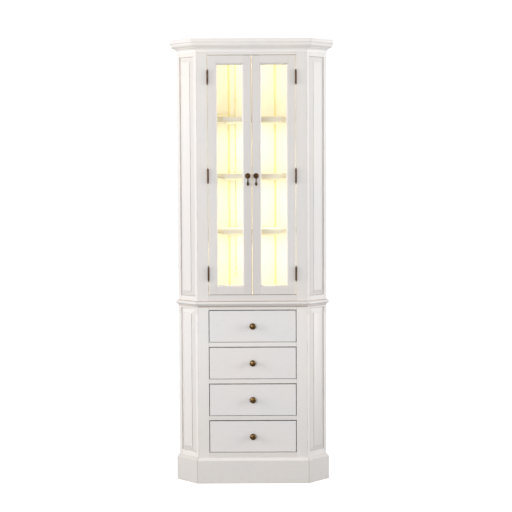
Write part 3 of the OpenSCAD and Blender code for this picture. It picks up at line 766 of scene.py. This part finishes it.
def dress_wood():
    """Paint on all that shows, bare pine on what the drawers hide."""
    wear_on(["plinth"], paint("plinth_paint", FRAME_WHITE, STROKES_LEVEL, hollow_glaze_and_shade=1.1,
                              joints=mitre_joints, line_depth=0.7, low_shade_and_scuffs=0.6, shaded_cants=0.4))
    wear_on(["waist_moulding", "waist_board"],
            paint("waist_paint", FRAME_WHITE, STROKES_LEVEL, joints=waist_quirks, line_depth=0.75,
                  darkening=low_painted_shade(0.3, WAIST_LOW - 0.01)))
    wear_on(CROWN, paint("crown_paint", CROWN_LIT_WHITE, STROKES_LEVEL, hollow_glaze_and_shade=0.15,
                         joints=crown_lines, line_depth=0.22, darkening=crown_returns))
    wear_on(["upper_front_rails"],
            paint("case_rail_paint", FRAME_WHITE, STROKES_LEVEL, gaps=0.9, joints=waist_lines,
                  line_depth=1.0, darkening=low_painted_shade(0.58, WAIST_HIGH)))
    wear_on(["upper_front_stiles"],
            paint("case_stile_paint", FRAME_WHITE, STROKES_UP, gaps=0.9, joints=waist_lines,
                  line_depth=0.8, darkening=low_painted_shade(0.25, WAIST_HIGH)))
    wear_on(["base_front_rails"],
            paint("base_rail_paint", BASE_WHITE, STROKES_LEVEL, gaps=0.9, low_shade_and_scuffs=1.6,
                  joints=waist_lines, line_depth=0.8))
    wear_on(["base_front_stiles"],
            paint("base_stile_paint", BASE_WHITE, STROKES_UP, gaps=0.9, low_shade_and_scuffs=1.0,
                  joints=waist_lines, line_depth=0.8))
    for part, depth in (("upper", 0.5), ("base", 0.2)):
        wear_on([f"{part}_side_panels"],
                paint(f"{part}_panel_paint", FRAME_WHITE, STROKES_UP, wear=1.4, hollow_glaze_and_shade=0.1,
                      low_shade_and_scuffs=0.5, darkening=low_painted_shade(depth, 0.0)))
    wear_on(SIDE_FRAMES, paint("side_paint", FRAME_WHITE, STROKES_UP, wear=1.3, hollow_glaze_and_shade=0.15, low_shade_and_scuffs=0.5,
                               level_from=rails_of_sides, joints=waist_lines, line_depth=0.5,
                               darkening=low_painted_shade(0.38, WAIST_LOW - 0.04)))
    wear_on(DOOR_FRAMES, paint("door_paint", DOOR_WHITE, STROKES_UP, level_from=rails_of_doors,
                               gaps=0.55, joints=meeting_edges, line_depth=0.9,
                               unworn=door_seams, darkening=door_darkening))
    wear_on(DOOR_BEADS, paint("bead_paint", DOOR_WHITE, STROKES_UP, hollow_glaze_and_shade=0.35, wear=0.7))
    wear_on(DRAWER_FRONTS, paint("drawer_paint", DRAWER_WHITE, STROKES_LEVEL, gaps=1.0, low_shade_and_scuffs=0.35))
    wear_on(["base_back_panels"], paint("wall_board_paint", INNER_WHITE, STROKES_UP, wear=0.3))
    wear_on(["upper_back_panels"], inner_paint("inner_paint_upright", INNER_WHITE, STROKES_UP, True))
    wear_on(["upper_floor", "shelf_cleats"] + SHELVES,
            inner_paint("inner_paint_level", INNER_WHITE, STROKES_LEVEL))
    wear_on(DRAWER_BOXES + ["drawer_runners", "drawer_stops", "base_floor"], raw_wood("pine"))


def dress_fittings():
    """Metal, glass and plastic."""
    wear_on(KNOBS, metal("antique_brass_metal", (0.085, 0.045, 0.021), (0.66, 0.43, 0.18), 0.20))
    wear_on(HINGES, metal("aged_bronze_metal", (0.055, 0.034, 0.026), (0.30, 0.18, 0.10), 0.36))
    wear_on(PULLS, metal("rubbed_bronze_metal", (0.042, 0.021, 0.011), (0.60, 0.35, 0.15), 0.17,
                         wear=0.6))
    wear_on([f"{s}_door_strike" for s in SIDES],
            metal("steel", (0.42, 0.42, 0.43), (0.75, 0.75, 0.76), 0.3))
    wear_on([f"{s}_door_glass" for s in SIDES], glass("pane"))
    wear_on(["door_catches"], plastic("catch_brown", (0.05, 0.035, 0.028)))
    # painted light: the bar housings are given a faint glow of their own, though only the diffusers
    # are lamps
    wear_on(["light_housings"], plastic("bar_plastic", (0.85, 0.80, 0.66), 0.4, glow=0.28))
    wear_on(["light_strips"], led_strip("led_strip"))
    wear_on(["light_diffusers"], diffuser("lit_diffuser"))
    wear_on(["light_lead", "lead_clips"], plastic("lead_cream", (0.86, 0.78, 0.44)))
    wear_on(["cable_grommet"], plastic("grommet_cream", (0.82, 0.78, 0.68)))
    wear_on(["light_driver"], plastic("driver_white", (0.82, 0.78, 0.62), edge_tint=(0.62, 0.42, 0.12)))


def ease_all():
    """Sanded edges on the wood that shows."""
    ease_edges(STILES + RAILS + SIDE_FRAMES, width=0.0005)
    ease_edges(MOULDINGS + BOARDS + SIDE_PANELS, width=0.0007)
    ease_edges(DRAWER_FRONTS, width=0.0008)
    ease_edges(DOOR_FRAMES, width=0.0004)
    ease_edges(SHELVES, width=0.0012)


# ---- small pieces that the CAD leaves out ----

SCREW_R = 0.0032
SCREW_PROUD = 0.00012
CROSS_LENGTH = 0.66 * SCREW_R
CROSS_WIDTH = 0.17 * SCREW_R
CROSS_DEPTH = 0.0007
CENTRE_DEPTH = 0.0009
SCREW_SPREAD = 0.021
SCREW_FROM_FRONT = (0.0085, 0.0145, 0.0085)
GROMMET_BORE = 0.008
PETALS = 8
PETAL_T = 0.0008
PETAL_SLIT = 0.00015
PETAL_INSET = 0.004


def screw_head(name):
    """Countersunk head facing +Z, with a cross cut into its low dome."""
    mesh = bpy.data.meshes.new(name)
    work = bmesh.new()
    spokes, rings = 32, 6
    rows = []
    for ring in range(1, rings + 1):
        r = SCREW_R * ring / rings
        row = []
        for k in range(spokes):
            a = 2 * math.pi * (k + 0.5) / spokes
            x, y = r * math.cos(a), r * math.sin(a)
            cut = r < CROSS_LENGTH and min(abs(x), abs(y)) < CROSS_WIDTH
            dome = SCREW_PROUD * (1 - (ring / rings) ** 4)
            row.append(work.verts.new((x, y, -CROSS_DEPTH if cut else dome)))
        rows.append(row)
    middle = work.verts.new((0, 0, -CENTRE_DEPTH))
    for k in range(spokes):
        after = (k + 1) % spokes
        work.faces.new((middle, rows[0][k], rows[0][after]))
        for inner, outer in zip(rows, rows[1:]):
            work.faces.new((inner[k], outer[k], outer[after], inner[after]))
    work.to_mesh(mesh)
    work.free()
    return mesh


def add_piece(name, mesh, body, material, matrix):
    """A new object in the scene that rides on a body."""
    piece = bpy.data.objects.new(name, mesh)
    bpy.context.scene.collection.objects.link(piece)
    piece.matrix_world = matrix
    mesh.materials.append(material)
    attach(piece, body)


def add_hinge_screws(material):
    """Three screws through every hinge leaf, seen when a door stands open."""
    frame_face = OPEN_HALF - LEAF_T
    door_face = frame_face - LEAF_GAP
    for side, sign in (("left", -1), ("right", 1)):
        for body, x, facing in (("case", frame_face, -1), (f"{side}_door", door_face, 1)):
            turn = Matrix.Rotation(facing * sign * math.pi / 2, 4, "Y")
            for row, level in enumerate(HINGE_LEVELS):
                for k, back in enumerate(SCREW_FROM_FRONT):
                    at = (sign * x, FRONT_Y + back, level + (k - 1) * SCREW_SPREAD)
                    name = f"screw_{side}_{body}_{row}_{k}"
                    add_piece(name, screw_head(name), body, material,
                              Matrix.Translation(at) @ turn)


def petal_outline(k):
    """Points round one petal: its tip, then an arc on the grommet's bore."""
    pitch = 2 * math.pi / PETALS
    middle = (k + 0.5) * pitch
    away = Vector((math.cos(middle), math.sin(middle))) * PETAL_SLIT / math.sin(pitch / 2)
    outline = [away]
    steps = 4
    for j in range(steps + 1):
        a = (k + j / steps) * pitch
        outline.append(Vector((math.cos(a), math.sin(a))) * GROMMET_BORE + away * 0.2)
    return outline


def add_grommet_petals(material):
    """Soft split membrane that closes the cable grommet around a lead."""
    mesh = bpy.data.meshes.new("grommet_petals")
    work = bmesh.new()
    for k in range(PETALS):
        outline = petal_outline(k)
        front = [work.verts.new((p.x, 0, p.y)) for p in outline]
        rear = [work.verts.new((p.x, PETAL_T, p.y)) for p in outline]
        work.faces.new(front)
        work.faces.new(rear[::-1])
        for j, point in enumerate(front):
            after = (j + 1) % len(front)
            work.faces.new((front[after], point, rear[j], rear[after]))
    bmesh.ops.recalc_face_normals(work, faces=work.faces)
    work.to_mesh(mesh)
    work.free()
    low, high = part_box("cable_grommet")
    at = ((low.x + high.x) / 2, low.y + PETAL_INSET, (low.z + high.z) / 2)
    add_piece("grommet_petals", mesh, "case", material, Matrix.Translation(at))


add_camera()
add_floor()
add_world()
add_studio()
add_case_lights()
dress_wood()
dress_fittings()
ease_all()
add_grommet_petals(NODES["cable_grommet"].material_slots[0].material)
add_hinge_screws(NODES["hinge_pins"].material_slots[0].material)
